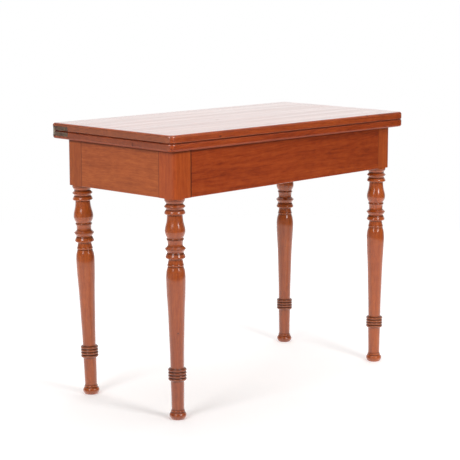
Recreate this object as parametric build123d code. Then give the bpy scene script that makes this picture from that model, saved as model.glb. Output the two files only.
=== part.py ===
from build123d import *
import math
import os

os.makedirs("parts", exist_ok=True)

# ---------------------------------------------------------------------------
# Fold-over games table, closed. Millimetres, +Z up.
# Origin: on the floor, under the centre of the closed top. +X is along the
# frame's long side, -Y is the front, the hinged edge of the top is at the
# back (+Y). The closed top stands turned by TOP_TURN about its pivot, just
# past square, against its stop.
# ---------------------------------------------------------------------------

# top
TOP_LENGTH = 925.0          # long side
TOP_DEPTH = 481.0           # short side, closed
TOP_TURN = -2.0             # degrees about the pivot, clockwise from above
TOP_HEIGHT = 757.0          # floor to the upper face
LEAF_T = 21.2               # each leaf
LEAF_GAP = 0.6              # between the closed leaves
LEAF_CORNER_R = 16.0        # front corners, in plan
LEAF_OUTER_ARRIS = 6.4      # arris at the outer face of each leaf
LEAF_INNER_ARRIS = (4.0, 3.4)   # arris at the playing face, lower and upper leaf

# frame (rails and leg blocks are flush)
FRAME_LENGTH = 894.0
FRAME_DEPTH = 415.0
FRAME_Y = -4.0              # the frame's centre, forward of the top's centre
FRAME_TOP = 713.6
FRAME_BOTTOM = 589.4
RAIL_T = 22.0
BLOCK = 54.0                # leg blocks, along X
BLOCK_FL = 60.0             # the front-left block, along X
BLOCK_D = 57.0              # leg blocks, along Y
LEG_IN = 27.0               # turning's axis from the block's outer faces
BLOCK_CORNER_R = 11.0
JOINT_GAP = 1.2             # opened joint beside the front-left block
TENON_T = 9.0
TENON_L = 29.0
TENON_IN = 7.0              # tenon's outer cheek, from the face of the rail
FIT = 0.1                   # clearance of a glued joint, each side

# two-pin hinges
PIN_H = 6.9                 # pin from the plane between the leaves
PIN_E = 6.6                 # pin from the back edge
PIN_R = 2.0
PIN_CLEAR = 0.05
EYE_R = 6.5
EYE_L = 12.0
PLATE_T = 4.0
PLATE_L = 65.5              # front end of each plate, from the back edge
SCREW_IN = (53.9, 27.8)     # screws, from the back edge
PLATE_FROM = 1.9            # plate's edge from the plane between the leaves
PLATE_W = 11.5
LINK_W = 7.0
LINK_T = 2.2
RECESS_T = 2.4
SCREW_R = 1.75
SCREW_HEAD_R = 3.5

# swivel
PIVOT_RAIL_W = 80.0
PIVOT_RAIL_T = 25.0
PIVOT_PIN_R = 6.0
PEG_R = 8.0
PEG_CLEAR = 0.3

# card well
WELL_T = 8.0
WELL_Z = 605.0              # underside of the bottom board
CLEAT_W = 14.0
PARTITION_T = 12.0
HOUSING = 4.0

# how far each leg is out of plumb, degrees, and the way its foot leans
LEAN_DIR = (0.685, -0.729)
LEAN = {"front_left": 0.5, "front_right": 0.0, "back_left": 1.6, "back_right": 0.0}

# derived
L2, D2 = TOP_LENGTH / 2, TOP_DEPTH / 2
FX, FY = FRAME_LENGTH / 2, FRAME_DEPTH / 2
MID_Z = TOP_HEIGHT - LEAF_T - LEAF_GAP / 2
UP_Z0 = MID_Z + LEAF_GAP / 2
LO_Z1 = MID_Z - LEAF_GAP / 2
LO_Z0 = LO_Z1 - LEAF_T
PIN_Y = D2 - PIN_E
PLATE_END_Y = D2 - PLATE_L
SCREW_Y = tuple(D2 - k for k in SCREW_IN)
AX, AY = FX - LEG_IN, FY - LEG_IN
IN_Y0, IN_Y1 = FRAME_Y - FY + RAIL_T, FRAME_Y + FY - RAIL_T
# the pivot: the closed top's centre is over the origin, and the opened top,
# a quarter turn from square, is centred on the frame
TC, TS = math.cos(math.radians(-TOP_TURN)), math.sin(math.radians(-TOP_TURN))
DET = (1 + TS) ** 2 + TC ** 2
PIVOT_X = (D2 * (1 + TS) - FRAME_Y * TC) / DET
PIVOT_Y = (D2 * TC + FRAME_Y * (1 + TS)) / DET
# the same point on the leaves, which are modelled square
Q_X = PIVOT_X * TC - PIVOT_Y * TS
Q_Y = PIVOT_X * TS + PIVOT_Y * TC
TURNED_TOP = Pos(PIVOT_X, PIVOT_Y, 0) * Rot(0, 0, TOP_TURN) * Pos(-Q_X, -Q_Y, 0)
# stop peg: it meets the pivot rail's edge at both ends of the top's travel
TRAVEL = 90 - TOP_TURN
PEG_R_ARM = (PIVOT_RAIL_W / 2 + PEG_R + PEG_CLEAR) / math.cos(math.radians(TRAVEL / 2))
PEG_A = math.radians(180 - TRAVEL / 2 - TOP_TURN)
PEG_X, PEG_Y = Q_X + PEG_R_ARM * math.cos(PEG_A), Q_Y + PEG_R_ARM * math.sin(PEG_A)


def box(x0, x1, y0, y1, z0, z1):
    return Pos((x0 + x1) / 2, (y0 + y1) / 2, (z0 + z1) / 2) * Box(x1 - x0, y1 - y0, z1 - z0)


def rod_z(x, y, z0, z1, r):
    return Pos(x, y, (z0 + z1) / 2) * Cylinder(r, z1 - z0)


def rod_x(x0, x1, y, z, r):
    return Pos((x0 + x1) / 2, y, z) * Rot(0, 90, 0) * Cylinder(r, abs(x1 - x0))


def one(shape):
    solids = shape.solids()
    if len(solids) == 1:
        return solids[0]
    return Compound(children=list(solids))


parts = {}

# ---------------------------------------------------------------------------
# legs: a square block and a turning, from one piece
# ---------------------------------------------------------------------------
Z0 = FRAME_BOTTOM


def turning():
    """Half outline of the turning as (radius, height), revolved about Z."""
    def pts(seq):
        return [(r, z) for z, r in seq]

    shoulder = [(Z0, 26.9), (587.0, 26.85), (584.6, 26.6), (582.2, 25.8), (580.0, 24.6), (577.8, 23.3),
                (575.8, 22.2), (574.4, 21.6)]
    under1 = [(567.2, 27.3), (565.8, 26.2), (563.8, 24.4), (562.0, 23.2), (560.4, 22.5)]
    ring2 = [(559.8, 22.5), (558.6, 23.4), (557.0, 24.7), (555.2, 25.8), (553.2, 26.6), (551.2, 27.05),
             (549.6, 27.05), (548.4, 26.5), (547.6, 25.2), (547.1, 23.4), (546.8, 21.6)]
    vase = [(545.6, 20.4), (543.0, 20.25), (540.0, 20.4), (536.5, 20.7), (533.0, 21.05), (529.0, 21.6), (525.0, 22.4),
            (521.0, 23.45), (517.0, 24.6), (513.0, 25.6), (509.0, 26.25), (504.6, 26.65), (501.0, 26.6),
            (497.0, 26.05), (493.0, 24.9), (489.6, 23.4), (487.2, 22.0), (485.6, 21.1)]
    neck = [(479.4, 21.6), (477.6, 20.9), (475.4, 20.35), (472.5, 19.95), (469.0, 19.6), (466.0, 19.65),
            (464.2, 20.0)]
    ring3 = [(456.6, 27.2), (455.2, 26.5), (453.2, 25.4), (451.2, 24.2), (449.2, 22.8), (447.4, 21.6)]
    ring4 = [(446.6, 21.4), (445.0, 22.0), (443.0, 23.0), (441.0, 24.1), (439.0, 25.0), (437.0, 25.7),
             (435.0, 26.05), (433.4, 25.95), (432.2, 25.2), (431.4, 23.8), (430.9, 21.8), (430.3, 20.0)]
    cup = [(429.2, 18.95), (427.2, 18.7), (424.5, 19.1), (421.5, 19.7), (418.5, 20.4), (416.4, 20.85)]
    bead = [(415.9, 21.2), (414.4, 21.8), (412.8, 21.85), (411.2, 21.4)]
    shaft = [(410.4, 20.75), (408.6, 21.05), (406.4, 21.65), (403.9, 22.6), (401.2, 23.4), (398.4, 24.05),
             (395.6, 24.55), (391.0, 25.1), (385.0, 25.6), (375.0, 25.8), (365.0, 25.62), (357.0, 25.4),
             (347.0, 25.05), (332.0, 24.45), (317.0, 23.6), (297.0, 22.6), (277.0, 21.8), (257.0, 21.2),
             (237.0, 20.65), (217.0, 20.0), (197.0, 19.3), (177.0, 18.75), (157.0, 18.35), (139.6, 18.1)]
    lower = [(102.6, 18.35), (97.0, 18.2), (87.0, 17.95), (72.0, 17.6), (57.0, 17.35), (42.0, 17.15),
             (30.0, 17.0), (26.6, 17.05)]
    astragal = [(24.6, 17.25), (23.6, 18.2), (22.2, 18.85), (20.8, 18.85), (19.8, 18.4)]
    bun = [(19.0, 18.5), (17.8, 19.8), (16.2, 21.1), (14.2, 22.2), (12.0, 22.95), (9.8, 23.2), (7.6, 22.85),
           (5.2, 21.9), (2.8, 20.6), (1.2, 19.6), (0, 18.6)]
    reeds_z = [133.2, 125.1, 117.0, 108.9]
    half = 4.05

    with BuildPart() as p:
        with BuildSketch(Plane.XZ):
            with BuildLine():
                Line((0, Z0 + 3), (26.9, Z0 + 3))
                Line((26.9, Z0 + 3), (26.9, Z0))
                Spline(*pts(shoulder))
                Line((21.6, 574.4), (26.9, 568.9))
                Line((26.9, 568.9), (27.35, 568.0))
                Line((27.35, 568.0), (27.3, 567.2))
                Spline(*pts(under1))
                Line((22.5, 560.4), (22.2, 560.1))
                Line((22.2, 560.1), (22.5, 559.8))
                Spline(*pts(ring2))
                Line((21.6, 546.8), (20.4, 545.6))
                Spline(*pts(vase))
                Line((21.1, 485.6), (20.9, 484.8))
                Line((20.9, 484.8), (22.2, 483.9))
                Line((22.2, 483.9), (22.6, 482.4))
                Line((22.6, 482.4), (22.5, 480.8))
                Line((22.5, 480.8), (21.6, 479.4))
                Spline(*pts(neck))
                Line((20.0, 464.2), (26.6, 458.4))
                Line((26.6, 458.4), (27.25, 457.5))
                Line((27.25, 457.5), (27.2, 456.6))
                Spline(*pts(ring3))
                Line((21.6, 447.4), (21.2, 447.0))
                Line((21.2, 447.0), (21.4, 446.6))
                Spline(*pts(ring4))
                Line((20.0, 430.3), (18.95, 429.2))
                Spline(*pts(cup))
                Line((20.85, 416.4), (21.2, 415.9))
                Spline(*pts(bead))
                Line((21.4, 411.2), (20.75, 410.4))
                Spline(*pts(shaft))
                Line((18.1, 139.6), (18.7, 138.6))
                Line((18.7, 138.6), (20.5, reeds_z[0] + half))
                for zc in reeds_z:
                    ThreePointArc((20.5, zc + half), (24.45, zc), (20.5, zc - half))
                Line((20.5, reeds_z[-1] - half), (18.9, 103.4))
                Line((18.9, 103.4), (18.35, 102.6))
                Spline(*pts(lower))
                Line((17.05, 26.6), (17.25, 24.6))
                Spline(*pts(astragal))
                Line((18.4, 19.8), (18.1, 19.4))
                Line((18.1, 19.4), (18.5, 19.0))
                Spline(*pts(bun))
                Line((18.6, 0), (18.4, -3))
                Line((18.4, -3), (0, -3))
                Line((0, -3), (0, Z0 + 3))
            make_face()
        revolve(axis=Axis.Z)
    return p.part


TURNED = turning()


def leg(name, sx, sy, x_face=BLOCK):
    """Block with rounded outer corner, mortises for the two rails, and the turning."""
    lx, ly = sx * AX, FRAME_Y + sy * AY
    t = Pos(lx, ly, 0) * TURNED
    if LEAN[name]:
        t = t.rotate(Axis((lx, ly, Z0), (LEAN_DIR[1], -LEAN_DIR[0], 0)), LEAN[name])
    t = t - box(lx - 60, lx + 60, ly - 60, ly + 60, -30, 0)
    ox, oy = sx * FX, FRAME_Y + sy * FY
    blk = box(min(ox, ox - sx * x_face), max(ox, ox - sx * x_face),
              min(oy, oy - sy * BLOCK_D), max(oy, oy - sy * BLOCK_D), FRAME_BOTTOM, FRAME_TOP)
    corner = [e for e in blk.edges().filter_by(Axis.Z)
              if abs(e.center().X - ox) < 0.01 and abs(e.center().Y - oy) < 0.01]
    blk = fillet(corner, BLOCK_CORNER_R)
    body = blk + t
    # mortise for the long rail, cut from the inner face towards the corner
    y0, y1 = oy - sy * TENON_IN, oy - sy * (TENON_IN + TENON_T)
    xi = ox - sx * x_face
    body -= box(*sorted((xi + sx * (TENON_L + 0.5), xi - sx * 1)), min(y0, y1) - FIT, max(y0, y1) + FIT,
                TEN_Z0 - FIT, TEN_Z1 + FIT)
    # mortise for the end rail
    x0, x1 = ox - sx * TENON_IN, ox - sx * (TENON_IN + TENON_T)
    yi = oy - sy * BLOCK_D
    body -= box(min(x0, x1) - FIT, max(x0, x1) + FIT, *sorted((yi + sy * (TENON_L + 0.5), yi - sy * 1)),
                TEN_Z0 - FIT, TEN_Z1 + FIT)
    return body


TEN_Z0, TEN_Z1 = FRAME_BOTTOM + 14, FRAME_TOP - 20

parts["leg_front_left"] = leg("front_left", -1, -1, BLOCK_FL)
parts["leg_back_left"] = leg("back_left", -1, 1)
parts["leg_back_right"] = leg("back_right", 1, 1)
parts["leg_front_right"] = leg("front_right", 1, -1)

# ---------------------------------------------------------------------------
# rails with their tenons
# ---------------------------------------------------------------------------
PIV_X0, PIV_X1 = PIVOT_X - PIVOT_RAIL_W / 2, PIVOT_X + PIVOT_RAIL_W / 2
PIV_Z0 = FRAME_TOP - PIVOT_RAIL_T
STUB_L, STUB_Z0, STUB_Z1 = 12.0, FRAME_TOP - 20, FRAME_TOP - 6
PART_X0, PART_X1 = PIV_X0, PIV_X0 + PARTITION_T


def soften(rail, outer, axis):
    """Round the lower outer arris of a rail."""
    es = [e for e in rail.edges().filter_by(axis)
          if abs(e.center().Z - FRAME_BOTTOM) < 0.01
          and abs((e.center().Y if axis == Axis.X else e.center().X) - outer) < 0.01]
    return fillet(es, 1.6)


def long_rail(sy, xa, xb):
    oy = FRAME_Y + sy * FY
    ya, yb = sorted((oy, oy - sy * RAIL_T))
    r = box(xa, xb, ya, yb, FRAME_BOTTOM, FRAME_TOP)
    r = soften(r, oy, Axis.X)
    ty = sorted((oy - sy * TENON_IN, oy - sy * (TENON_IN + TENON_T)))
    return r, ty, oy


# front rail
xa = -FX + BLOCK_FL + JOINT_GAP
r, ty, oy = long_rail(-1, xa, FX - BLOCK)
r += box(xa - TENON_L, xa + 1, ty[0], ty[1], TEN_Z0, TEN_Z1)
r += box(FX - BLOCK - 1, FX - BLOCK + TENON_L, ty[0], ty[1], TEN_Z0, TEN_Z1)
front = r
# back rail
r, ty, oy = long_rail(1, -FX + BLOCK, FX - BLOCK)
r += box(-FX + BLOCK - TENON_L, -FX + BLOCK + 1, ty[0], ty[1], TEN_Z0, TEN_Z1)
r += box(FX - BLOCK - 1, FX - BLOCK + TENON_L, ty[0], ty[1], TEN_Z0, TEN_Z1)
back = r
# mortises for the pivot rail and housings for the partition
stub = box(PIV_X0 + 10 - FIT, PIV_X1 - 10 + FIT, IN_Y0 - STUB_L - FIT, IN_Y1 + STUB_L + FIT,
           STUB_Z0 - FIT, STUB_Z1 + FIT)
housing = box(PART_X0 - FIT, PART_X1 + FIT, IN_Y0 - HOUSING - FIT, IN_Y1 + HOUSING + FIT,
              WELL_Z + WELL_T - FIT, PIV_Z0 + FIT)
parts["front_rail"] = front - stub - housing
parts["back_rail"] = back - stub - housing

for name, sx in (("left_rail", -1), ("right_rail", 1)):
    ox = sx * FX
    ya, yb = FRAME_Y - FY + BLOCK_D, FRAME_Y + FY - BLOCK_D
    r = box(*sorted((ox, ox - sx * RAIL_T)), ya, yb, FRAME_BOTTOM, FRAME_TOP)
    r = soften(r, ox, Axis.Y)
    tx = sorted((ox - sx * TENON_IN, ox - sx * (TENON_IN + TENON_T)))
    r += box(tx[0], tx[1], ya - TENON_L, ya + 1, TEN_Z0, TEN_Z1)
    r += box(tx[0], tx[1], yb - 1, yb + TENON_L, TEN_Z0, TEN_Z1)
    parts[name] = r

# ---------------------------------------------------------------------------
# pivot rail, card well
# ---------------------------------------------------------------------------
p = box(PIV_X0, PIV_X1, IN_Y0, IN_Y1, PIV_Z0, FRAME_TOP)
p += box(PIV_X0 + 10, PIV_X1 - 10, IN_Y0 - STUB_L, IN_Y1 + STUB_L, STUB_Z0, STUB_Z1)
p -= rod_z(PIVOT_X, PIVOT_Y, PIV_Z0 - 1, FRAME_TOP + 1, PIVOT_PIN_R + 0.08)
parts["pivot_rail"] = p

WELL_X0 = -FX + RAIL_T + 0.2
b = box(WELL_X0, PART_X1, IN_Y0 + 0.2, IN_Y1 - 0.2, WELL_Z, WELL_Z + WELL_T)
b -= box(WELL_X0 - 1, -FX + BLOCK_FL + 0.3, IN_Y0 - 1, FRAME_Y - FY + BLOCK_D + 0.3, WELL_Z - 1, WELL_Z + WELL_T + 1)
b -= box(WELL_X0 - 1, -FX + BLOCK + 0.3, FRAME_Y + FY - BLOCK_D - 0.3, IN_Y1 + 1, WELL_Z - 1, WELL_Z + WELL_T + 1)
parts["well_bottom"] = b
parts["well_partition"] = box(PART_X0, PART_X1, IN_Y0 - HOUSING, IN_Y1 + HOUSING, WELL_Z + WELL_T, PIV_Z0)
CLEAT_Z0 = FRAME_BOTTOM + 0.6
parts["well_cleat_front"] = box(-FX + BLOCK_FL + 1, PART_X1, IN_Y0, IN_Y0 + CLEAT_W, CLEAT_Z0, WELL_Z)
parts["well_cleat_back"] = box(-FX + BLOCK + 1, PART_X1, IN_Y1 - CLEAT_W, IN_Y1, CLEAT_Z0, WELL_Z)
parts["well_cleat_left"] = box(-FX + RAIL_T, -FX + RAIL_T + CLEAT_W, FRAME_Y - FY + BLOCK_D + 1,
                               FRAME_Y + FY - BLOCK_D - 1, CLEAT_Z0, WELL_Z)

# ---------------------------------------------------------------------------
# leaves: modelled with the playing face up at z = 0 and the hinged edge at +Y
# ---------------------------------------------------------------------------


def leaf_blank(inner):
    with BuildPart() as lp:
        with BuildSketch():
            with BuildLine():
                c = LEAF_CORNER_R
                Polyline((-L2, -D2 + c), (-L2, D2), (L2, D2), (L2, -D2 + c))
                RadiusArc((L2, -D2 + c), (L2 - c, -D2), c)
                Line((L2 - c, -D2), (-L2 + c, -D2))
                RadiusArc((-L2 + c, -D2), (-L2, -D2 + c), c)
            make_face()
        extrude(amount=-LEAF_T)
    s = lp.part
    # arris at the hinged edge of the playing face, struck from the pin
    e = [k for k in s.edges().filter_by(Axis.X) if abs(k.center().Z) < 0.01 and abs(k.center().Y - D2) < 0.01]
    s = fillet(e, PIN_E)
    # outer face, all round
    e = [k for k in s.edges() if abs(k.center().Z + LEAF_T) < 0.01 and abs(k.bounding_box().size.Z) < 0.01]
    s = fillet(e, LEAF_OUTER_ARRIS)
    # playing face, ends and front
    e = [k for k in s.edges() if abs(k.center().Z) < 0.01 and k.bounding_box().size.Z < 0.01
         and k.center().Y < D2 - PIN_E - 0.5]
    s = fillet(e, inner)
    return s


def hinge_cuts():
    """Pockets for plate, eye, link and screws, at both ends; playing face up."""
    zp = -(PIN_H - LEAF_GAP / 2)
    cuts = []
    for sx in (-1, 1):
        o = sx * L2
        z1 = -(PLATE_FROM - LEAF_GAP / 2)
        z0 = z1 - PLATE_W
        cuts.append(box(*sorted((o + sx, o - sx * (PLATE_T + FIT))), PLATE_END_Y - FIT, PIN_Y, z0 - FIT, z1 + FIT))
        cuts.append(rod_x(o + sx, o - sx * (EYE_L + 0.2), PIN_Y, zp, EYE_R + 0.15))
        cuts.append(box(*sorted((o + sx, o - sx * (EYE_L + 0.2))), PIN_Y - LINK_W / 2 - 0.4, D2 + 5,
                        zp - 0.0, 5))
        cuts.append(box(*sorted((o + sx, o - sx * (RECESS_T + 0.1))), PIN_Y - LINK_W / 2 - 0.4, D2 + 5,
                        zp - LINK_W / 2 - 0.4, 5))
        for ys in SCREW_Y:
            cuts.append(rod_x(o, o - sx * 23, ys, (z0 + z1) / 2, SCREW_R + 0.05))
    return cuts


def hinge_plate(sx):
    """Brass plate with its eye, as in the lower leaf, playing face up at z = 0."""
    o = sx * L2
    zp = -(PIN_H - LEAF_GAP / 2)
    z1 = -(PLATE_FROM - LEAF_GAP / 2)
    z0 = z1 - PLATE_W
    h = box(*sorted((o, o - sx * PLATE_T)), PLATE_END_Y, PIN_Y, z0, z1)
    es = [k for k in h.edges().filter_by(Axis.X) if abs(k.center().Y - PLATE_END_Y) < 0.01]
    h = fillet(es, 1.2)
    es = [k for k in h.edges().filter_by(Axis.Y) if abs(k.center().Z - z1) < 0.01 and abs(k.center().X - o) < 0.01]
    h = fillet(es, 0.6)
    h += rod_x(o, o - sx * EYE_L, PIN_Y, zp, EYE_R)
    h -= box(*sorted((o + sx, o - sx * RECESS_T)), PIN_Y - LINK_W / 2 - 0.4, D2 + 5, zp - LINK_W / 2 - 0.4, 5)
    h -= rod_x(o + sx, o - sx * (EYE_L + 1), PIN_Y, zp, PIN_R + PIN_CLEAR)
    for ys in SCREW_Y:
        h -= rod_x(o + sx, o - sx * 6, ys, (z0 + z1) / 2, SCREW_R + 0.05)
        h -= Pos(o - sx * 1.2, ys, (z0 + z1) / 2) * Rot(0, sx * 90, 0) * Cone(
            SCREW_R + 0.05, SCREW_HEAD_R + 0.05, 2.4)
        h -= rod_x(o + sx * 0.5, o - sx * 0.05, ys, (z0 + z1) / 2, SCREW_HEAD_R + 0.05)
    return h


def hinge_screws():
    out = []
    z1 = -(PLATE_FROM - LEAF_GAP / 2)
    zc = z1 - PLATE_W / 2
    k = 0
    for sx in (-1, 1):
        o = sx * L2
        for ys in SCREW_Y:
            s = rod_x(o - sx * 2.3, o - sx * 22, ys, zc, SCREW_R)
            s += Pos(o - sx * 1.3, ys, zc) * Rot(0, sx * 90, 0) * Cone(SCREW_R, SCREW_HEAD_R - 0.1, 2.2)
            slot = Pos(o - sx * 0.2, ys, zc) * Rot(20 + 65 * k, 0, 0) * Box(1.6, 9, 0.9)
            s -= slot
            out.append(s)
            k += 1
    return out


leaves = []
for inner in LEAF_INNER_ARRIS:
    leaf = leaf_blank(inner)
    for c in hinge_cuts():
        leaf -= c
    leaves.append(leaf)

# lower leaf
frame_parts, parts = parts, {}
down = Pos(0, 0, LO_Z1)
lower = down * leaves[0]
PPLATE_X, PPLATE_Y, PPLATE_T = 50.0, 27.0, 3.0
HEAD_R, HEAD_T = 11.0, 2.6
lower -= box(Q_X - PPLATE_X - FIT, Q_X + PPLATE_X + FIT, Q_Y - PPLATE_Y - FIT,
             Q_Y + PPLATE_Y + FIT, LO_Z0 - 1, LO_Z0 + PPLATE_T + 0.05)
lower -= rod_z(Q_X, Q_Y, LO_Z0, LO_Z0 + PPLATE_T + HEAD_T + 0.1, HEAD_R + FIT)
PSCREW = [(Q_X + i * 38, Q_Y + j * 16) for i in (-1, 1) for j in (-1, 1)]
for x, y in PSCREW:
    lower -= rod_z(x, y, LO_Z0, LO_Z0 + 16, 2.05)
lower -= rod_z(PEG_X, PEG_Y, LO_Z0 - 1, LO_Z0 + 12, PEG_R + 0.05)
parts["lower_leaf"] = lower

# upper leaf: the mirror image of the lower one, face down on it
BETWEEN = Plane.XY.offset(MID_Z)
parts["upper_leaf"] = mirror(down * leaves[1], about=BETWEEN)

# hinge plates, screws
for side, sx in (("left", -1), ("right", 1)):
    h = down * hinge_plate(sx)
    parts["lower_hinge_plate_" + side] = h
    parts["upper_hinge_plate_" + side] = mirror(h, about=BETWEEN)
screws = [down * s for s in hinge_screws()]
parts["lower_hinge_screws"] = screws
parts["upper_hinge_screws"] = [mirror(s, about=BETWEEN) for s in screws]

# links and pins
pins = []
for side, sx in (("left", -1), ("right", 1)):
    o = sx * L2
    zc = (MID_Z - PIN_H, MID_Z + PIN_H)
    ln = box(*sorted((o, o - sx * LINK_T)), PIN_Y - LINK_W / 2, PIN_Y + LINK_W / 2, zc[0], zc[1])
    for z in zc:
        ln += rod_x(o, o - sx * LINK_T, PIN_Y, z, LINK_W / 2)
    outer = [e for e in ln.edges() if abs(e.center().X - o) < 0.01 and e.bounding_box().size.X < 0.01]
    ln = fillet(outer, 0.5)
    for z in zc:
        ln -= rod_x(o + sx, o - sx * (LINK_T + 1), PIN_Y, z, PIN_R + 0.02)
        pins.append(rod_x(o - sx * 0.15, o - sx * (EYE_L - 0.5), PIN_Y, z, PIN_R))
    parts["hinge_link_" + side] = ln
parts["hinge_pins"] = pins

# ---------------------------------------------------------------------------
# swivel under the lower leaf
# ---------------------------------------------------------------------------
pp = box(Q_X - PPLATE_X, Q_X + PPLATE_X, Q_Y - PPLATE_Y, Q_Y + PPLATE_Y, LO_Z0, LO_Z0 + PPLATE_T)
pp = fillet(pp.edges().filter_by(Axis.Z), 2.0)
pp -= rod_z(Q_X, Q_Y, LO_Z0 - 1, LO_Z0 + 5, PIVOT_PIN_R + 0.05)
pscrews = []
for n, (x, y) in enumerate(PSCREW):
    pp -= rod_z(x, y, LO_Z0 - 1, LO_Z0 + 5, 2.05)
    pp -= Pos(x, y, LO_Z0 + 1.1) * Rot(180, 0, 0) * Cone(2.05, 4.05, 2.2)
    s = rod_z(x, y, LO_Z0 + 2.1, LO_Z0 + 15, 2.0)
    s += Pos(x, y, LO_Z0 + 1.2) * Rot(180, 0, 0) * Cone(2.0, 3.85, 2.0)
    s -= Pos(x, y, LO_Z0 + 0.2) * Rot(0, 0, 35 + 50 * n) * Box(10, 1.0, 1.4)
    pscrews.append(s)
parts["pivot_plate"] = pp
parts["pivot_plate_screws"] = pscrews

WASHER_T, NUT_T, NUT_AF = 2.5, 9.0, 20.0
WASH_Z1 = PIV_Z0 - 0.3
NUT_Z0 = WASH_Z1 - WASHER_T - NUT_T
pin = rod_z(Q_X, Q_Y, NUT_Z0 - 5, LO_Z0 + PPLATE_T + 0.5, PIVOT_PIN_R)
pin = chamfer([e for e in pin.edges() if abs(e.center().Z - (NUT_Z0 - 5)) < 0.01], 1.0)
pin += rod_z(Q_X, Q_Y, LO_Z0 + PPLATE_T, LO_Z0 + PPLATE_T + HEAD_T, HEAD_R)
parts["pivot_pin"] = pin
washer = rod_z(Q_X, Q_Y, WASH_Z1 - WASHER_T, WASH_Z1, 15.0)
parts["pivot_washer"] = washer - rod_z(Q_X, Q_Y, WASH_Z1 - 5, WASH_Z1 + 1, PIVOT_PIN_R + 0.1)
nut = Pos(Q_X, Q_Y, NUT_Z0 + NUT_T / 2) * Box(NUT_AF, NUT_AF, NUT_T)
nut = chamfer([e for e in nut.edges() if abs(e.center().Z - NUT_Z0) < 0.01], 1.0)
parts["pivot_nut"] = nut - rod_z(Q_X, Q_Y, NUT_Z0 - 1, NUT_Z0 + NUT_T + 1, PIVOT_PIN_R + 0.02)

peg = rod_z(PEG_X, PEG_Y, LO_Z0 - 13, LO_Z0 + 11.8, PEG_R)
peg = fillet([e for e in peg.edges() if abs(e.center().Z - (LO_Z0 - 13)) < 0.01], 1.5)
parts["stop_peg"] = peg

# ---------------------------------------------------------------------------
# the whole top, from square to its place on the pivot
for name, shape in parts.items():
    frame_parts[name] = [TURNED_TOP * s for s in shape] if isinstance(shape, list) else TURNED_TOP * shape

for name, shape in frame_parts.items():
    if isinstance(shape, list):
        solids = []
        for s in shape:
            solids += list(s.solids())
        out = Compound(children=solids)
    else:
        out = one(shape)
    export_step(out, "parts/" + name + ".step")
    print(name, len(out.solids()), round(sum(s.volume for s in out.solids()), 1))
print("pivot", PIVOT_X, PIVOT_Y, "on the leaf", Q_X, Q_Y, "mid", MID_Z, "pin y", PIN_Y, "peg", PEG_X, PEG_Y, "leaf underside", LO_Z0)
print("pin line", (TURNED_TOP * Pos(0, PIN_Y, 0)).position, "travel", TRAVEL)
print("legs", AX, FRAME_Y - AY, FRAME_Y + AY, "inner", IN_Y0, IN_Y1)
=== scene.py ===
import math

import bpy
from mathutils import Matrix, Vector

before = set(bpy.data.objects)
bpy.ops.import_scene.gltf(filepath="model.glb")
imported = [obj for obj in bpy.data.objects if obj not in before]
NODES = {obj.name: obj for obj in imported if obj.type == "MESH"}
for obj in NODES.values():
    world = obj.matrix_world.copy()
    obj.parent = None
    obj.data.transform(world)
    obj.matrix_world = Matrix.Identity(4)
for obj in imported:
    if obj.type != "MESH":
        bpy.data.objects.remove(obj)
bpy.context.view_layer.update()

# ---------------------------------------------------------------------------
# camera
# ---------------------------------------------------------------------------
YAW, PITCH, ROLL = math.radians(46.5508), math.radians(9.71724), math.radians(-0.06668)
forward = Vector((math.sin(YAW) * math.cos(PITCH), math.cos(YAW) * math.cos(PITCH), -math.sin(PITCH)))
right0 = Vector((math.cos(YAW), -math.sin(YAW), 0.0))
up0 = right0.cross(forward)
right = right0 * math.cos(ROLL) + up0 * math.sin(ROLL)
up = up0 * math.cos(ROLL) - right0 * math.sin(ROLL)
cam_data = bpy.data.cameras.new("camera")
cam_data.sensor_width = 36.0
cam_data.lens = 122.093497
cam_data.clip_start, cam_data.clip_end = 0.05, 100.0
cam = bpy.data.objects.new("camera", cam_data)
bpy.context.scene.collection.objects.link(cam)
cam.matrix_world = Matrix((
    (right.x, up.x, -forward.x, -3.21437),
    (right.y, up.y, -forward.y, -3.02856),
    (right.z, up.z, -forward.z, 1.18756),
    (0.0, 0.0, 0.0, 1.0),
))
bpy.context.scene.camera = cam

view = bpy.context.scene.view_settings
view.view_transform = "Standard"
view.look = "None"
view.exposure = 0.0
view.gamma = 1.0


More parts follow.
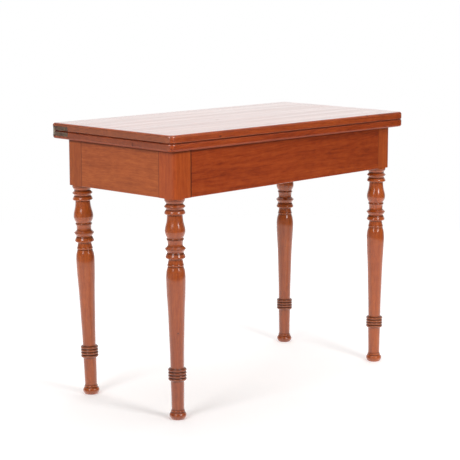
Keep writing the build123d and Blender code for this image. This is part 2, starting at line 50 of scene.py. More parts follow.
# ---------------------------------------------------------------------------
# node helpers
# ---------------------------------------------------------------------------
class Graph:
    """Short calls that add nodes to one tree. A value is a number, a tuple or a socket."""

    def __init__(self, tree):
        self.t = tree
        tree.nodes.clear()

    def node(self, kind, **props):
        n = self.t.nodes.new(kind)
        for k, v in props.items():
            setattr(n, k, v)
        return n

    def put(self, socket, value):
        if isinstance(value, bpy.types.NodeSocket):
            self.t.links.new(value, socket)
        elif isinstance(value, (tuple, list, Vector)):
            value = tuple(value)
            if socket.type == "RGBA" and len(value) == 3:
                value += (1.0,)
            socket.default_value = value
        else:
            socket.default_value = value

    def math(self, op, a, b=0.0, c=0.0, clamp=False):
        n = self.node("ShaderNodeMath", operation=op, use_clamp=clamp)
        for i, v in enumerate((a, b, c)):
            self.put(n.inputs[i], v)
        return n.outputs[0]

    def add(self, a, b):
        return self.math("ADD", a, b)

    def sub(self, a, b):
        return self.math("SUBTRACT", a, b)

    def mul(self, a, b):
        return self.math("MULTIPLY", a, b)

    def vmath(self, op, a, b=(0, 0, 0)):
        n = self.node("ShaderNodeVectorMath", operation=op)
        self.put(n.inputs[0], a)
        self.put(n.inputs[1], b)
        return n.outputs["Value"] if op in ("DOT_PRODUCT", "LENGTH", "DISTANCE") else n.outputs["Vector"]

    def spin(self, v, degrees):
        n = self.node("ShaderNodeVectorRotate", rotation_type="Z_AXIS")
        self.put(n.inputs["Vector"], v)
        n.inputs["Angle"].default_value = math.radians(degrees)
        return n.outputs[0]

    def split(self, v):
        n = self.node("ShaderNodeSeparateXYZ")
        self.put(n.inputs[0], v)
        return n.outputs[0], n.outputs[1], n.outputs[2]

    def join(self, x, y, z):
        n = self.node("ShaderNodeCombineXYZ")
        for i, v in enumerate((x, y, z)):
            self.put(n.inputs[i], v)
        return n.outputs[0]

    def step(self, x, lo, hi, a=0.0, b=1.0, smooth=True):
        n = self.node("ShaderNodeMapRange", interpolation_type="SMOOTHSTEP" if smooth else "LINEAR", clamp=True)
        for name, v in (("Value", x), ("From Min", lo), ("From Max", hi), ("To Min", a), ("To Max", b)):
            self.put(n.inputs[name], v)
        return n.outputs["Result"]

    def noise(self, vec, scale=1.0, detail=2.0, rough=0.5, distortion=0.0, dims="3D"):
        n = self.node("ShaderNodeTexNoise", noise_dimensions=dims)
        self.put(n.inputs["Vector"], vec)
        self.put(n.inputs["Scale"], scale)
        self.put(n.inputs["Detail"], detail)
        self.put(n.inputs["Roughness"], rough)
        self.put(n.inputs["Distortion"], distortion)
        return n.outputs["Fac"] if "Fac" in n.outputs else n.outputs[0]

    def mix(self, fac, a, b, blend="MIX"):
        n = self.node("ShaderNodeMix", data_type="RGBA", blend_type=blend, clamp_factor=True)
        self.put(n.inputs["Factor"], fac)
        sockets = [s for s in n.inputs if s.type == "RGBA"]
        self.put(sockets[0], a)
        self.put(sockets[1], b)
        return [s for s in n.outputs if s.type == "RGBA"][0]

    def ramp(self, fac, stops, ease="LINEAR"):
        n = self.node("ShaderNodeValToRGB")
        e = n.color_ramp.elements
        n.color_ramp.interpolation = ease
        while len(e) < len(stops):
            e.new(0.5)
        for i, (p, c) in enumerate(stops):
            e[i].position = p
            e[i].color = (*c, 1.0)
        self.put(n.inputs[0], fac)
        return n.outputs["Color"]

    def bump(self, height, distance, strength=1.0, normal=None):
        n = self.node("ShaderNodeBump")
        self.put(n.inputs["Height"], height)
        n.inputs["Distance"].default_value = distance
        n.inputs["Strength"].default_value = strength
        if normal is not None:
            self.put(n.inputs["Normal"], normal)
        return n.outputs["Normal"]


def new_material(name):
    m = bpy.data.materials.new(name)
    m.use_nodes = True
    return m, Graph(m.node_tree)


def dress(node, material):
    """Gives a CAD node its material, in every slot it has."""
    o = NODES[node]
    if not o.data.materials:
        o.data.materials.append(material)
    for s in o.material_slots:
        s.material = material


# ---------------------------------------------------------------------------
# wood
# ---------------------------------------------------------------------------
def wood(name, axis, pith, palette, ring=0.0032, seed=0.0, ring_w=0.16, streak_w=0.5, broad_w=0.55, fibre_w=0.28,
         pore_w=0.35, end_dark=0.72, tilt=(0.0, 0.0), base_rough=0.42, coat=1.0, coat_rough=0.11, crevice_shade=0.0,
         crevice_shade_reach=0.006, wear=0.25, waviness=1.0, extra=None, raw=None, spec=0.12, lump_w=2.2, curl_w=0.14,
         top_streak=0.0, crevice_shade_colour=(0.030, 0.012, 0.008), turn=0.0, end_tint=None,
         groove=None, mottle_w=0.0, coat_ior=1.5):
    """Stained, varnished wood. axis is the grain's direction, pith the heart's place across it, in metres."""
    m, g = new_material(name)
    tc = g.node("ShaderNodeTexCoord")
    pos = tc.outputs["Object"]
    nrm = tc.outputs["Normal"]
    if turn:
        pos = g.spin(pos, turn)
        nrm = g.spin(nrm, turn)
    x, y, z = g.split(pos)
    nx, ny, nz = g.split(nrm)
    along, a1, a2, n_along = {"X": (x, y, z, nx), "Y": (y, x, z, ny), "Z": (z, x, y, nz)}[axis]
    o = seed * 7.31 + 3.0

    # slow wander of the grain
    slow = g.join(g.mul(a1, 3.0), g.mul(a2, 3.0), g.add(g.mul(along, 1.6), o))
    w1 = g.mul(g.sub(g.noise(slow, 1.0, 2.0), 0.5), 0.030)
    slow2 = g.join(g.mul(a2, 3.0), g.mul(a1, 3.0), g.add(g.mul(along, 1.9), o + 11.0))
    w2 = g.mul(g.sub(g.noise(slow2, 1.0, 2.0), 0.5), 0.026)
    b1 = g.add(a1, w1)
    b2 = g.add(a2, w2)

    # growth rings about the heart
    c1 = g.sub(b1, g.add(g.mul(along, tilt[0]), pith[0]))
    c2 = g.sub(b2, g.add(g.mul(along, tilt[1]), pith[1]))
    r = g.vmath("LENGTH", g.join(c1, c2, 0.0))
    lumps = g.noise(g.join(g.mul(a1, 22.0), g.mul(a2, 22.0), g.add(g.mul(along, 3.2), o + 5.0)), 1.0, 3.0, 0.55)
    phase = g.add(g.mul(r, 1.0 / ring), g.mul(lumps, lump_w))
    cycle = g.math("FRACT", phase)
    late = g.mul(g.step(cycle, 0.25, 0.93), g.step(cycle, 0.93, 1.0, 1.0, 0.0))
    every = g.noise(g.join(g.math("FLOOR", phase), o, 0.0), 0.73, 0.0)      # rings aren't alike
    rings = g.mul(late, g.step(every, 0.25, 0.75, 0.35, 1.0, smooth=False))

    # streaks, fibres, pores: long along the grain
    def grain(across, lengthwise, off, detail, rough=0.55, dist=0.0):
        v = g.join(g.mul(b1, across), g.mul(b2, across), g.add(g.mul(along, lengthwise), o + off))
        return g.noise(v, 1.0, detail, rough, dist)

    broad = grain(16.0, 2.2, 1.0, 3.0, 0.6)
    streak = grain(95.0, 3.6, 17.0, 4.0, 0.62)
    fibre = grain(620.0, 16.0, 31.0, 3.0, 0.6)
    pore = grain(1500.0, 70.0, 43.0, 1.0)
    pores = g.step(pore, 0.60, 0.72)
    # faint figure across the grain
    curl = g.noise(g.join(g.mul(b1, 14.0), g.mul(b2, 14.0), g.add(g.mul(along, 46.0), o + 60.0)), 1.0, 2.0)

    tone = g.add(0.5, g.mul(g.sub(broad, 0.5), broad_w))
    tone = g.add(tone, g.mul(g.sub(streak, 0.5), streak_w))
    tone = g.add(tone, g.mul(g.sub(fibre, 0.5), fibre_w))
    tone = g.sub(tone, g.mul(rings, ring_w))
    tone = g.add(tone, g.mul(g.sub(curl, 0.5), curl_w))
    if mottle_w > 0.0:
        mottle = g.noise(g.join(g.mul(a1, 110.0), g.mul(a2, 110.0), g.add(g.mul(along, 42.0), o + 90.0)), 1.0, 4.0, 0.65)
        tone = g.add(tone, g.mul(g.sub(mottle, 0.5), mottle_w))
    colour = g.ramp(tone, ((0.0, palette[0]), (0.34, palette[1]), (0.62, palette[2]), (1.0, palette[3])))
    dark = tuple(c * 0.35 for c in palette[0])
    colour = g.mix(g.mul(pores, pore_w), colour, dark)

    # end grain takes more stain
    end = g.step(g.math("ABSOLUTE", n_along), 0.72, 0.95)
    colour = g.mix(g.mul(end, 1.0 - end_dark), colour, end_tint or tuple(c * 0.28 for c in palette[0]))

    # polish: mottled wear, dirt and painted shade in the recesses, rubbed arrises
    blotch = g.noise(g.vmath("ADD", pos, (o, o * 0.7, o * 1.3)), 11.0, 4.0, 0.6)
    colour = g.mix(g.step(blotch, 0.30, 0.72, 0.0, 0.22), colour,
                   g.mix(1.0, colour, (1.22, 1.10, 0.92), "MULTIPLY"))
    specks = g.step(g.noise(g.vmath("ADD", pos, (o * 2.0, 1.0, 2.0)), 160.0, 2.0, 0.5), 0.70, 0.80)
    colour = g.mix(g.mul(specks, 0.35), colour, dark)
    rough = g.add(base_rough, g.mul(g.sub(blotch, 0.5), 0.22))
    dirt_and_shade = None
    if crevice_shade > 0.0:
        # painted shade: recesses found by ambient occlusion are darkened, for dirt and for the shade that falls there
        ao = g.node("ShaderNodeAmbientOcclusion", samples=6, only_local=True, inside=False)
        ao.inputs["Distance"].default_value = crevice_shade_reach
        dirt_and_shade = g.mul(g.step(ao.outputs["AO"], 0.30, 0.92, 1.0, 0.0), crevice_shade)
        colour = g.mix(dirt_and_shade, colour, crevice_shade_colour)
        rough = g.add(rough, g.mul(dirt_and_shade, 0.25))
    if wear > 0.0:
        bev = g.node("ShaderNodeBevel", samples=4)
        bev.inputs["Radius"].default_value = 0.0016
        geo = g.node("ShaderNodeNewGeometry")
        edge = g.step(g.vmath("DOT_PRODUCT", bev.outputs["Normal"], geo.outputs["Normal"]), 0.90, 0.995, 1.0, 0.0)
        rub = g.mul(g.mul(edge, g.step(streak, 0.35, 0.65)), wear)
        colour = g.mix(rub, colour, tuple(min(1.0, c * 1.35) for c in palette[3]))
    dull = None
    if extra is not None:
        colour, rough, *more = extra(g, pos, colour, rough)
        dull = more[0] if more else None
    height = g.add(g.mul(fibre, 0.45), g.add(g.mul(streak, 0.35), g.mul(rings, -0.25)))
    height = g.sub(height, g.mul(pores, 0.55))
    fine = g.bump(height, 0.00022, 0.55)
    wavy = g.noise(g.join(g.mul(a1, 30.0), g.mul(a2, 30.0), g.add(g.mul(along, 7.0), o + 70.0)), 1.0, 2.0)
    film = g.bump(g.add(g.mul(wavy, 1.0), g.mul(fibre, 0.06)), 0.00045 * waviness, 0.35)

    p = g.node("ShaderNodeBsdfPrincipled")
    p.inputs["Coat Weight"].default_value = coat
    p.inputs["Coat Roughness"].default_value = coat_rough
    p.inputs["Coat IOR"].default_value = coat_ior
    p.inputs["Specular IOR Level"].default_value = spec
    film_w = coat
    if groove is not None:
        # wax and dirt, with painted shade, in the open joint between the leaves, and a dull arris beneath
        flat = g.step(g.math("ABSOLUTE", nz), 0.80, 0.97, 1.0, 0.0)
        near = g.step(g.math("ABSOLUTE", g.sub(z, groove[0])), groove[1] * 0.35, groove[1], 1.0, 0.0)
        soot_and_shade = g.mul(flat, near)
        # painted shade: the faces beside the joint are darkened as the shade in the gap
        colour = g.mix(g.mul(soot_and_shade, groove[2]), colour, (0.040, 0.010, 0.005))
        under = g.step(nz, -0.50, -0.05, 0.80, 0.0)
        film_w = g.mul(g.sub(1.0, g.math("MAXIMUM", g.mul(soot_and_shade, 0.9), under)), coat)
    if dull is not None:
        film_w = g.mul(g.sub(1.0, dull), film_w)
    if top_streak > 0.0:
        # the polish on the flat top is thinner along some of the grain
        long_streak = grain(34.0, 0.9, 83.0, 3.0, 0.55)
        thin = g.mul(g.step(nz, 0.90, 0.99), g.step(long_streak, 0.42, 0.66, 0.0, top_streak))
        film_w = g.mul(g.sub(1.0, thin), film_w)
    if raw is not None:
        mask, raw_colour = raw(g, pos, nrm, fibre, streak, rings, pores)
        colour = g.mix(mask, colour, raw_colour)
        rough = g.add(rough, g.mul(mask, 0.42))
        film_w = g.mul(g.sub(1.0, mask), film_w)
    g.put(p.inputs["Coat Weight"], film_w)
    g.put(p.inputs["Base Color"], colour)
    g.put(p.inputs["Roughness"], g.math("MINIMUM", g.math("MAXIMUM", rough, 0.05), 0.95))
    g.put(p.inputs["Normal"], fine)
    g.put(p.inputs["Coat Normal"], film)
    out = g.node("ShaderNodeOutputMaterial")
    g.t.links.new(p.outputs[0], out.inputs["Surface"])
    return m


RAW = ((0.22, 0.115, 0.055), (0.36, 0.205, 0.105), (0.47, 0.29, 0.155), (0.58, 0.39, 0.23))


def raw_colour(g, fibre, streak, rings, pores):
    tone = g.add(0.5, g.mul(g.sub(streak, 0.5), 0.55))
    tone = g.add(tone, g.mul(g.sub(fibre, 0.5), 0.45))
    tone = g.sub(tone, g.mul(rings, 0.24))
    c = g.ramp(tone, tuple(zip((0.0, 0.34, 0.62, 1.0), RAW)))
    return g.mix(g.mul(pores, 0.25), c, (0.10, 0.055, 0.03))


def raw_side(axis, sign, at, soft=0.0015):
    """Unfinished inside face of a rail: beyond 'at' on that axis, where the surface faces inwards."""
    def f(g, pos, nrm, fibre, streak, rings, pores):
        k = "XYZ".index(axis)
        n = g.mul(g.split(nrm)[k], sign)
        p = g.mul(g.split(pos)[k], sign)
        inward = g.step(n, 0.5, 0.8)
        deep = g.step(p, at * sign - soft, at * sign)
        return g.mul(inward, deep), raw_colour(g, fibre, streak, rings, pores)
    return f


def raw_under(z_at):
    """Unpolished underside."""
    def f(g, pos, nrm, fibre, streak, rings, pores):
        down = g.step(g.split(nrm)[2], -0.99, -0.93, 1.0, 0.0)
        low = g.step(g.split(pos)[2], z_at, z_at + 0.001, 1.0, 0.0)
        c = g.mix(0.55, raw_colour(g, fibre, streak, rings, pores), (0.20, 0.075, 0.035))
        return g.mul(g.mul(down, low), 0.9), c
    return f


def seams(lines, z_min=0.0):
    """Dark glue lines where two pieces meet: (axis, place, half width, depth of the tone)."""
    def f(g, pos, colour, rough):
        x = g.split(pos)
        ragged = g.mul(g.sub(g.noise(pos, 160.0, 2.0), 0.5), 0.0007)
        # dust, and a painted shadow, under the overhanging top
        grime_and_shadow = g.step(g.add(x[2], g.mul(ragged, 2.0)), 0.7045, 0.7115, 0.0, 0.75)
        colour = g.mix(grime_and_shadow, colour, (0.075, 0.016, 0.006))
        for axis, at, half, depth in lines:
            away = g.math("ABSOLUTE", g.add(g.sub(x["XYZ".index(axis)], at), ragged))
            m = g.step(away, half * 0.25, half, depth, 0.0)
            if z_min > 0.0:
                m = g.mul(m, g.step(x[2], z_min, z_min + 0.003))
            colour = g.mix(m, colour, (0.040, 0.010, 0.005))
            rough = g.add(rough, g.mul(m, 0.3))
        return colour, rough, g.mul(grime_and_shadow, 0.8)
    return f


def marks(spots):
    """Knots, dents and chips: (place, (rx, ry, rz), depth, tint)."""
    def f(g, pos, colour, rough):
        rag = g.sub(g.noise(pos, 420.0, 3.0, 0.6), 0.5)
        dull = 0.0
        for at, size, depth, tint in spots:
            q = g.vmath("DIVIDE", g.vmath("SUBTRACT", pos, at), size)
            r = g.add(g.vmath("LENGTH", q), g.mul(rag, 0.9))
            m = g.step(r, 0.35, 1.0, depth, 0.0)
            colour = g.mix(m, colour, tint)
            rough = g.add(rough, g.mul(m, 0.2))
            dull = g.math("MAXIMUM", dull, m)
        return colour, rough, dull
    return f


LEAF = ((0.135, 0.0175, 0.0030), (0.265, 0.040, 0.0068), (0.350, 0.062, 0.0110), (0.470, 0.104, 0.0210))
LEAF_LOW = ((0.126, 0.0142, 0.0020), (0.247, 0.033, 0.0045), (0.327, 0.052, 0.0074), (0.440, 0.088, 0.0145))
RAIL = ((0.130, 0.0150, 0.0024), (0.268, 0.036, 0.0048), (0.355, 0.056, 0.0082), (0.480, 0.096, 0.0160))
SIDE = ((0.155, 0.026, 0.0050), (0.308, 0.060, 0.0104), (0.408, 0.089, 0.0158), (0.535, 0.148, 0.0300))
BLOCKW = ((0.165, 0.022, 0.0035), (0.335, 0.053, 0.0078), (0.440, 0.080, 0.0118), (0.570, 0.136, 0.0240))
HOME = 2.0      # the top stands turned by this much: turning back squares its grain

leaf_top = wood("leaf_wood_upper", "X", (-0.05, 0.62), LEAF, ring=0.0036, seed=1.0, tilt=(0.05, 0.03),
                coat_rough=0.05, wear=0.3, spec=0.05, turn=HOME, top_streak=0.10, end_dark=0.5, end_tint=(0.235, 0.092, 0.049),
                groove=(0.7355, 0.0030, 0.6), mottle_w=0.6, fibre_w=0.5, streak_w=0.75, waviness=0.4,
                extra=marks((
                    ((-0.2878, -0.2405, 0.7425), (0.0060, 0.0050, 0.0040), 0.75, (0.060, 0.014, 0.006)),
                    ((0.3000, -0.2375, 0.7553), (0.0050, 0.0040, 0.0030), 0.80, (0.050, 0.012, 0.006)),
                    ((0.3560, -0.2375, 0.7553), (0.0045, 0.0040, 0.0030), 0.70, (0.050, 0.012, 0.006)),
                    ((-0.0850, -0.0200, 0.7570), (0.0080, 0.0030, 0.0040), 0.45, (0.060, 0.020, 0.010)),
                    ((0.1900, 0.0900, 0.7570), (0.0040, 0.0040, 0.0040), 0.40, (0.060, 0.020, 0.010)),
                )))
leaf_low = wood("leaf_wood_lower", "X", (0.06, 0.60), LEAF_LOW, ring=0.0034, seed=2.0, tilt=(-0.04, 0.05),
                coat_rough=0.05, wear=0.3, spec=0.05, raw=raw_under(0.7148), turn=HOME, end_dark=0.5,
                groove=(0.7355, 0.0030, 0.6), mottle_w=0.6, fibre_w=0.5, streak_w=0.75, waviness=0.4,
                end_tint=(0.215, 0.066, 0.033),
                extra=marks((
                    ((-0.4625, -0.0928, 0.7232), (0.0030, 0.0042, 0.0085), 0.55, (0.045, 0.012, 0.007)),
                    ((0.4100, -0.2405, 0.7260), (0.0060, 0.0040, 0.0025), 0.50, (0.060, 0.014, 0.006)),
                )))
dress("upper_leaf", leaf_top)
dress("lower_leaf", leaf_low)

# joints between the rails and the leg blocks, as planes
X_FL, X_R, X_BL = -0.3864, 0.3930, -0.3930
Y_F, Y_B = -0.1545, 0.1465
RAILS = {
    "front_rail": ("X", (-0.300, 0.640), 3.0, (0.02, 0.035), raw_side("Y", 1.0, -0.1900), RAIL, 0.13, 2.2,
                   (("X", X_FL, 0.0028, 0.92), ("X", X_R, 0.0016, 0.45))),
    "back_rail": ("X", (0.300, 0.660), 4.0, (0.015, -0.03), raw_side("Y", -1.0, 0.1820), RAIL, 0.13, 2.2,
                  (("X", X_BL, 0.0016, 0.5), ("X", X_R, 0.0016, 0.5))),
    "left_rail": ("Y", (-0.590, 0.655), 5.0, (0.006, 0.004), raw_side("X", 1.0, -0.4255), SIDE, 0.07, 1.2,
                  (("Y", Y_F, 0.0022, 0.5), ("Y", Y_B, 0.0022, 0.5))),
    "right_rail": ("Y", (0.560, 0.650), 6.0, (-0.01, 0.008), raw_side("X", -1.0, 0.4255), SIDE, 0.08, 1.4,
                   (("Y", Y_F, 0.0022, 0.5), ("Y", Y_B, 0.0022, 0.5))),
}
for n, (axis, pith, seed, tilt, raw, palette, ring_w, lump_w, lines) in RAILS.items():
    dress(n, wood("frame_wood_" + n, axis, pith, palette, ring=0.0036, seed=seed, tilt=tilt, raw=raw, wear=0.25,
                  ring_w=ring_w, lump_w=lump_w, extra=seams(lines), mottle_w=0.6, fibre_w=0.6, streak_w=0.8))

LEGS = {
    "leg_front_left": ((-0.470, -0.250), 8.0, (("X", X_FL, 0.0028, 0.92), ("Y", Y_F, 0.0022, 0.5)),
                       (0.97, 0.97, 0.95), (0.81, 0.91, 0.92)),
    "leg_front_right": ((0.470, -0.240), 9.0, (("X", X_R, 0.0016, 0.45), ("Y", Y_F, 0.0022, 0.5)),
                        (0.98, 1.05, 1.15), (1.02, 1.16, 1.02)),
    "leg_back_left": ((-0.455, 0.235), 10.0, (("X", X_BL, 0.0016, 0.5), ("Y", Y_B, 0.0022, 0.5)),
                      (0.85, 1.0, 1.04), (0.99, 1.17, 1.02)),
    "leg_back_right": ((0.470, 0.240), 11.0, (("X", X_R, 0.0016, 0.5), ("Y", Y_B, 0.0022, 0.5)),
                       (0.98, 1.05, 1.15), (0.94, 1.13, 1.20)),
}


# darker bands at the creases and ring arrises of the turning, wax and dust with painted shade: (height, half width,
# depth)
CREASE_SHADE = ((0.5838, 0.0026, 0.55), (0.5746, 0.0030, 0.75), (0.5668, 0.0022, 0.45), (0.5588, 0.0024, 0.75),
           (0.5454, 0.0022, 0.60), (0.4815, 0.0027, 0.75), (0.4636, 0.0020, 0.50), (0.4566, 0.0024, 0.42),
           (0.4446, 0.0036, 0.72), (0.4302, 0.0024, 0.72), (0.4162, 0.0015, 0.45), (0.4096, 0.0022, 0.70),
           (0.1375, 0.0026, 0.60), (0.1300, 0.0024, 0.65), (0.12105, 0.0020, 0.70), (0.11295, 0.0022, 0.75),
           (0.1042, 0.0018, 0.45), (0.0262, 0.0018, 0.60), (0.0192, 0.0018, 0.55))


# small knots and dents: (place, size)
KNOTS = (((-0.4295, -0.2037, 0.2350), (0.0034, 0.0034, 0.0036)), ((-0.4400, -0.1960, 0.2200), (0.0060, 0.0060, 0.0016)),
         ((-0.4080, -0.1930, 0.0640), (0.0050, 0.0050, 0.0018)), ((0.4080, -0.2020, 0.3600), (0.0030, 0.0030, 0.0034)),
         ((-0.4300, 0.1600, 0.3150), (0.0030, 0.0030, 0.0028)))


def leg_tone(lines, block, turned):
    """The turned part, with its cut fibres, took the stain a little browner than the block."""
    joint = seams(lines, 0.5894)

    def f(g, pos, colour, rough):
        z = g.split(pos)[2]
        uneven = g.noise(pos, 55.0, 3.0, 0.6)
        dull = 0.0
        # painted shade: dark bands at the creases and ring arrises
        for at, half, depth in CREASE_SHADE:
            m = g.step(g.math("ABSOLUTE", g.sub(z, at)), half * 0.2, half, depth, 0.0)
            m = g.mul(m, g.step(uneven, 0.25, 0.60, 0.65, 1.0))
            colour = g.mix(m, colour, (0.062, 0.013, 0.005))
            rough = g.add(rough, g.mul(m, 0.2))
            dull = g.math("MAXIMUM", dull, m)
        for at, size in KNOTS:
            q = g.vmath("LENGTH", g.vmath("DIVIDE", g.vmath("SUBTRACT", pos, at), size))
            colour = g.mix(g.step(g.add(q, g.mul(uneven, 0.3)), 0.3, 1.1, 0.75, 0.0), colour, (0.040, 0.014, 0.008))
        # painted shade: the whole reeded band is darkened, for dirt and the shade in its grooves
        reed_shade = g.mul(g.step(z, 0.1030, 0.1050), g.step(z, 0.1370, 0.1390, 1.0, 0.0))
        colour = g.mix(g.mul(reed_shade, 0.32), colour, (0.085, 0.034, 0.020))
        below = g.step(g.split(pos)[2], 0.582, 0.590, 1.0, 0.0)
        colour = g.mix(below, g.mix(1.0, colour, block, "MULTIPLY"), g.mix(1.0, colour, turned, "MULTIPLY"))
        # glue lines, and the painted shadow under the overhanging top
        colour, rough, grime_and_shadow = joint(g, pos, colour, rough)
        return colour, rough, g.math("MAXIMUM", dull, grime_and_shadow)
    return f


for n, (pith, seed, lines, block, turned) in LEGS.items():
    dress(n, wood("leg_wood_" + n, "Z", pith, BLOCKW, ring=0.0030, seed=seed, ring_w=0.10, crevice_shade=1.0,
                  crevice_shade_reach=0.010, wear=0.3, coat_rough=0.16, waviness=0.25, extra=leg_tone(lines, block, turned), mottle_w=0.4,
                  fibre_w=0.5, streak_w=0.7))

INNER = {
    "pivot_rail": ("Y", (0.100, 0.600), 12.0),
    "well_bottom": ("X", (0.020, 0.400), 13.0),
    "well_partition": ("Y", (0.200, 0.560), 14.0),
    "well_cleat_front": ("X", (-0.300, 0.560), 15.0),
    "well_cleat_back": ("X", (0.300, 0.560), 16.0),
    "well_cleat_left": ("Y", (-0.500, 0.560), 17.0),
    "stop_peg": ("Z", (0.060, 0.150), 18.0),
}
for n, (axis, pith, seed) in INNER.items():
    dress(n, wood("inner_wood_" + n, axis, pith, RAW, ring=0.0042, seed=seed, ring_w=0.24, end_dark=0.8,
                  base_rough=0.78, coat=0.0, wear=0.12, pore_w=0.2, spec=0.25))


# ---------------------------------------------------------------------------
# metal
# ---------------------------------------------------------------------------
def metal(name, palette, rough=0.42, seed=0.0, brushed=0.0, patina=0.5, dark=(0.02, 0.016, 0.012), metallic=1.0,
          pits=0.3, edge=0.5):
    m, g = new_material(name)
    tc = g.node("ShaderNodeTexCoord")
    pos = g.vmath("ADD", tc.outputs["Object"], (seed, seed * 0.37, seed * 1.7))
    big = g.noise(pos, 70.0, 4.0, 0.62)
    mid = g.noise(pos, 420.0, 3.0, 0.6)
    fine = g.noise(pos, 1900.0, 2.0, 0.5)
    x, y, z = g.split(pos)
    brush = g.noise(g.join(g.mul(x, 3500.0), g.mul(y, 60.0), g.mul(z, 3500.0)), 1.0, 2.0)
    tone = g.add(g.mul(big, 0.6), g.mul(mid, 0.4))
    colour = g.ramp(tone, ((0.30, palette[0]), (0.50, palette[1]), (0.70, palette[2])))
    tarnish = g.step(g.add(g.mul(big, 0.7), g.mul(fine, 0.3)), 0.42, 0.62)
    colour = g.mix(g.mul(tarnish, patina), colour, dark)
    bev = g.node("ShaderNodeBevel", samples=4)
    bev.inputs["Radius"].default_value = 0.0007
    geo = g.node("ShaderNodeNewGeometry")
    rub = g.step(g.vmath("DOT_PRODUCT", bev.outputs["Normal"], geo.outputs["Normal"]), 0.86, 0.99, 1.0, 0.0)
    bright = tuple(min(1.0, c * 1.7) for c in palette[2])
    colour = g.mix(g.mul(rub, edge), colour, bright)
    r = g.add(rough, g.mul(g.sub(mid, 0.5), 0.35))
    r = g.sub(r, g.mul(rub, 0.12))
    h = g.add(g.mul(mid, 0.5), g.add(g.mul(fine, 0.2), g.mul(brush, brushed)))
    pit = g.step(g.noise(pos, 900.0, 1.0), 0.66, 0.74)
    h = g.sub(h, g.mul(pit, pits))
    p = g.node("ShaderNodeBsdfPrincipled")
    p.inputs["Metallic"].default_value = metallic
    g.put(p.inputs["Base Color"], colour)
    g.put(p.inputs["Roughness"], g.math("MINIMUM", g.math("MAXIMUM", r, 0.12), 0.9))
    g.put(p.inputs["Normal"], g.bump(h, 0.00012, 0.7))
    out = g.node("ShaderNodeOutputMaterial")
    g.t.links.new(p.outputs[0], out.inputs["Surface"])
    return m


BRASS = ((0.175, 0.115, 0.090), (0.290, 0.200, 0.155), (0.430, 0.310, 0.245))
LINK = ((0.38, 0.300, 0.215), (0.52, 0.415, 0.300), (0.64, 0.530, 0.400))
SCREW = ((0.20, 0.150, 0.080), (0.30, 0.225, 0.125), (0.40, 0.310, 0.180))
IRON = ((0.045, 0.040, 0.037), (0.075, 0.068, 0.062), (0.115, 0.100, 0.090))
STEEL = ((0.16, 0.150, 0.140), (0.26, 0.250, 0.235), (0.38, 0.365, 0.345))
k = 0
for side in ("left", "right"):
    for part in ("lower", "upper"):
        dress(part + "_hinge_plate_" + side, metal("hinge_brass_" + part + "_" + side, BRASS, 0.46, seed=0.3 + k, patina=0.70, dark=(0.060, 0.030, 0.022)))
        k += 1
    dress("hinge_link_" + side, metal("link_brass_" + side, LINK, 0.38, seed=5.3 + k, patina=0.35))
dress("lower_hinge_screws", metal("screw_brass_lower", SCREW, 0.40, seed=9.1, patina=0.4))
dress("upper_hinge_screws", metal("screw_brass_upper", SCREW, 0.40, seed=9.7, patina=0.4))
dress("hinge_pins", metal("pin_steel", STEEL, 0.36, seed=10.3, patina=0.3))
for i, n in enumerate(("pivot_plate", "pivot_plate_screws", "pivot_pin", "pivot_washer", "pivot_nut")):
    dress(n, metal("pivot_iron_" + n, IRON, 0.50, seed=12.1 + i, patina=0.35, dark=(0.035, 0.018, 0.010)))


# ---------------------------------------------------------------------------
# studio: pale floor, white surround, two tall softboxes and one overhead
# ---------------------------------------------------------------------------
def disc(name, radius, rings, segments):
    verts, faces = [(0.0, 0.0, 0.0)], []
    for i in range(1, rings + 1):
        for j in range(segments):
            a = 2 * math.pi * j / segments
            verts.append((radius * i / rings * math.cos(a), radius * i / rings * math.sin(a), 0.0))
    for j in range(segments):
        k = (j + 1) % segments
        faces.append((0, 1 + j, 1 + k))
        for i in range(rings - 1):
            a, b = 1 + i * segments, 1 + (i + 1) * segments
            faces.append((a + j, b + j, b + k, a + k))
    mesh = bpy.data.meshes.new(name)
    mesh.from_pydata(verts, [], faces)
    o = bpy.data.objects.new(name, mesh)
    bpy.context.scene.collection.objects.link(o)
    return o


def floor_material(name, glow, fade=(1.9, 3.0)):
    m, g = new_material(name)
    tc = g.node("ShaderNodeTexCoord")
    fx, fy, fz = g.split(tc.outputs["Object"])
    rad = g.vmath("LENGTH", g.join(fx, fy, 0.0))
    scuff = g.noise(tc.outputs["Object"], 3.0, 4.0, 0.6)
    shade = g.ramp(scuff, ((0.3, (0.880, 0.868, 0.866)), (0.7, (0.905, 0.896, 0.894))))
    dif = g.node("ShaderNodeBsdfDiffuse")
    g.put(dif.inputs["Color"], shade)
    lit = dif.outputs[0]
    if glow:
        em = g.node("ShaderNodeEmission")
        g.put(em.inputs["Color"], shade)
        # painted light: the glow grows towards the back and towards the rim, whitening the floor there
        back = g.add(g.mul(fx, 0.724), g.mul(fy, 0.690))
        g.put(em.inputs["Strength"], g.add(g.step(back, -0.65, 0.35, glow[0], glow[1]), g.step(rad, 1.0, 2.2, 0.0, 0.3)))
        both = g.node("ShaderNodeAddShader")
        g.t.links.new(dif.outputs[0], both.inputs[0])
        g.t.links.new(em.outputs[0], both.inputs[1])
        lit = both.outputs[0]
    clear = g.node("ShaderNodeBsdfTransparent")
    edge = g.node("ShaderNodeMixShader")
    g.put(edge.inputs["Fac"], g.step(rad, *fade))
    g.t.links.new(lit, edge.inputs[1])
    g.t.links.new(clear.outputs[0], edge.inputs[2])
    out = g.node("ShaderNodeOutputMaterial")
    g.t.links.new(edge.outputs[0], out.inputs["Surface"])
    return m


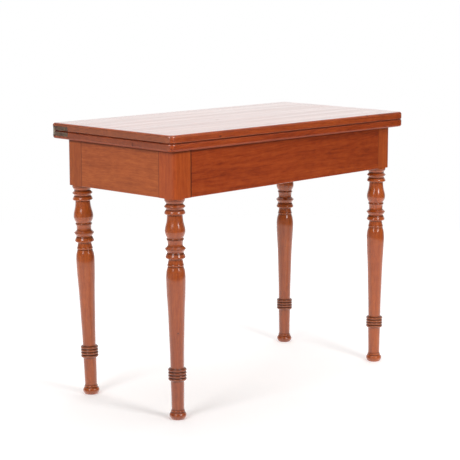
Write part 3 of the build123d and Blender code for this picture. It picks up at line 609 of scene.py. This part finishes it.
# the floor that is seen is lit a little from below, like a light table; the floor that the object mirrors isn't
floor = disc("floor", 3.2, 6, 96)
floor.data.materials.append(floor_material("studio_floor", (0.13, 0.42)))
floor.visible_diffuse = floor.visible_glossy = floor.visible_transmission = floor.visible_shadow = False
bounce = disc("floor_bounce", 3.2, 6, 96)
bounce.data.materials.append(floor_material("studio_floor_bounce", None, (1.2, 2.5)))
bounce.visible_camera = bounce.visible_glossy = False
bounce.visible_shadow = False
bounce.location.z = -0.002

# the same floor as the polish mirrors it: white paper up to an edge, the dim room beyond it
paper = disc("floor_mirrored", 30.0, 6, 96)
pm, g = new_material("studio_floor_mirrored")
tc = g.node("ShaderNodeTexCoord")
fx, fy, fz = g.split(tc.outputs["Object"])
rad = g.vmath("LENGTH", g.join(fx, fy, 0.0))
way = g.vmath("NORMALIZE", g.join(fx, fy, 0.0))
beyond = g.add(0.04, g.mul(g.step(g.vmath("DOT_PRODUCT", way, (-0.690, 0.724, 0.0)), 0.1, 0.9), 0.36))
beyond = g.add(beyond, g.mul(g.step(g.vmath("DOT_PRODUCT", way, (0.724, 0.690, 0.0)), 0.20, 0.80), 0.45))
em = g.node("ShaderNodeEmission")
em.inputs["Color"].default_value = (1.0, 0.99, 0.985, 1.0)
g.put(em.inputs["Strength"], g.add(g.step(rad, 2.20, 2.36, 1.5, 0.0), g.mul(g.step(rad, 2.20, 2.36), beyond)))
out = g.node("ShaderNodeOutputMaterial")
g.t.links.new(em.outputs[0], out.inputs["Surface"])
paper.data.materials.append(pm)
paper.visible_camera = paper.visible_diffuse = paper.visible_transmission = paper.visible_shadow = False
paper.location.z = -0.004

# white backdrop all round, seen but not casting light
mesh = bpy.data.meshes.new("backdrop")
verts, faces = [], []
RINGS, SEG, R = 16, 32, 22.0
for i in range(RINGS + 1):
    e = -math.pi / 2 + math.pi * i / RINGS
    for j in range(SEG):
        a = 2 * math.pi * j / SEG
        verts.append((R * math.cos(e) * math.cos(a), R * math.cos(e) * math.sin(a), R * math.sin(e)))
for i in range(RINGS):
    for j in range(SEG):
        k = (j + 1) % SEG
        faces.append((i * SEG + j, i * SEG + k, (i + 1) * SEG + k, (i + 1) * SEG + j))
mesh.from_pydata(verts, [], faces)
backdrop = bpy.data.objects.new("backdrop", mesh)
bpy.context.scene.collection.objects.link(backdrop)
bm, g = new_material("studio_backdrop")
em = g.node("ShaderNodeEmission")
em.inputs["Color"].default_value = (1, 1, 1, 1)
em.inputs["Strength"].default_value = 1.0
out = g.node("ShaderNodeOutputMaterial")
g.t.links.new(em.outputs[0], out.inputs["Surface"])
mesh.materials.append(bm)
backdrop.visible_diffuse = False
backdrop.visible_glossy = False
backdrop.visible_transmission = False
backdrop.visible_volume_scatter = False
backdrop.visible_shadow = False

world = bpy.data.worlds.new("studio")
bpy.context.scene.world = world
world.use_nodes = True
g = Graph(world.node_tree)
tc = g.node("ShaderNodeTexCoord")
d = g.vmath("NORMALIZE", tc.outputs["Generated"])
dz = g.split(d)[2]
behind = g.vmath("DOT_PRODUCT", d, (0.724, 0.690, 0.0))
left = g.vmath("DOT_PRODUCT", d, (-0.690, 0.724, 0.0))
sky = g.add(0.16, g.mul(g.step(behind, 0.30, 0.90), 1.03))
sky = g.add(sky, g.mul(g.step(dz, 0.35, 0.95), 0.34))
low = g.add(0.04, g.mul(g.step(left, 0.1, 0.9), 0.36))
low = g.add(low, g.mul(g.step(behind, -0.80, -0.15, 0.95, 0.0), 1.0))
low = g.add(low, g.mul(g.step(behind, 0.20, 0.80), 0.45))
low = g.add(low, g.mul(g.step(dz, -0.85, -0.45, 0.35, 0.0), 1.0))
strength = g.add(g.mul(g.step(dz, -0.03, 0.05), sky), g.mul(g.step(dz, -0.03, 0.05, 1.0, 0.0), low))
bg = g.node("ShaderNodeBackground")
bg.inputs["Color"].default_value = (1, 1, 1, 1)
g.put(bg.inputs["Strength"], strength)
out = g.node("ShaderNodeOutputWorld")
g.t.links.new(bg.outputs[0], out.inputs["Surface"])


def softbox(name, azimuth, elevation, distance, size, power):
    """azimuth is counted from the camera's side, positive to its right."""
    a = math.radians(223.634 + azimuth)
    e = math.radians(elevation)
    t = Vector((0.0, 0.0, 0.42))
    way = Vector((math.cos(a) * math.cos(e), math.sin(a) * math.cos(e), math.sin(e)))
    light = bpy.data.lights.new(name, "AREA")
    light.shape = "RECTANGLE"
    light.size, light.size_y = size
    light.energy = power
    o = bpy.data.objects.new(name, light)
    o.location = t + way * distance
    o.rotation_mode = "QUATERNION"
    o.rotation_quaternion = (-way).to_track_quat("-Z", "Y")
    bpy.context.scene.collection.objects.link(o)
    return o


softbox("softbox_right", 41.0, 27.0, 3.0, (0.75, 1.15), 36.0)
softbox("softbox_left", -33.0, 27.0, 3.0, (0.95, 1.15), 29.0)
softbox("overhead", 0.0, 89.0, 2.6, (2.4, 2.4), 24.0)

# the bright cores of the two lamps, as the rounded corners of the polished leaves mirror them
corners = bpy.data.collections.new("polished_leaves")
for n in ("upper_leaf", "lower_leaf"):
    corners.objects.link(NODES[n])
for name, azimuth, power in (("core_right", 41.0, 480.0), ("core_left", -33.0, 430.0)):
    core = softbox(name, azimuth, 27.0, 3.0, (0.45, 0.60), power)
    core.visible_diffuse = False
    core.light_linking.receiver_collection = corners
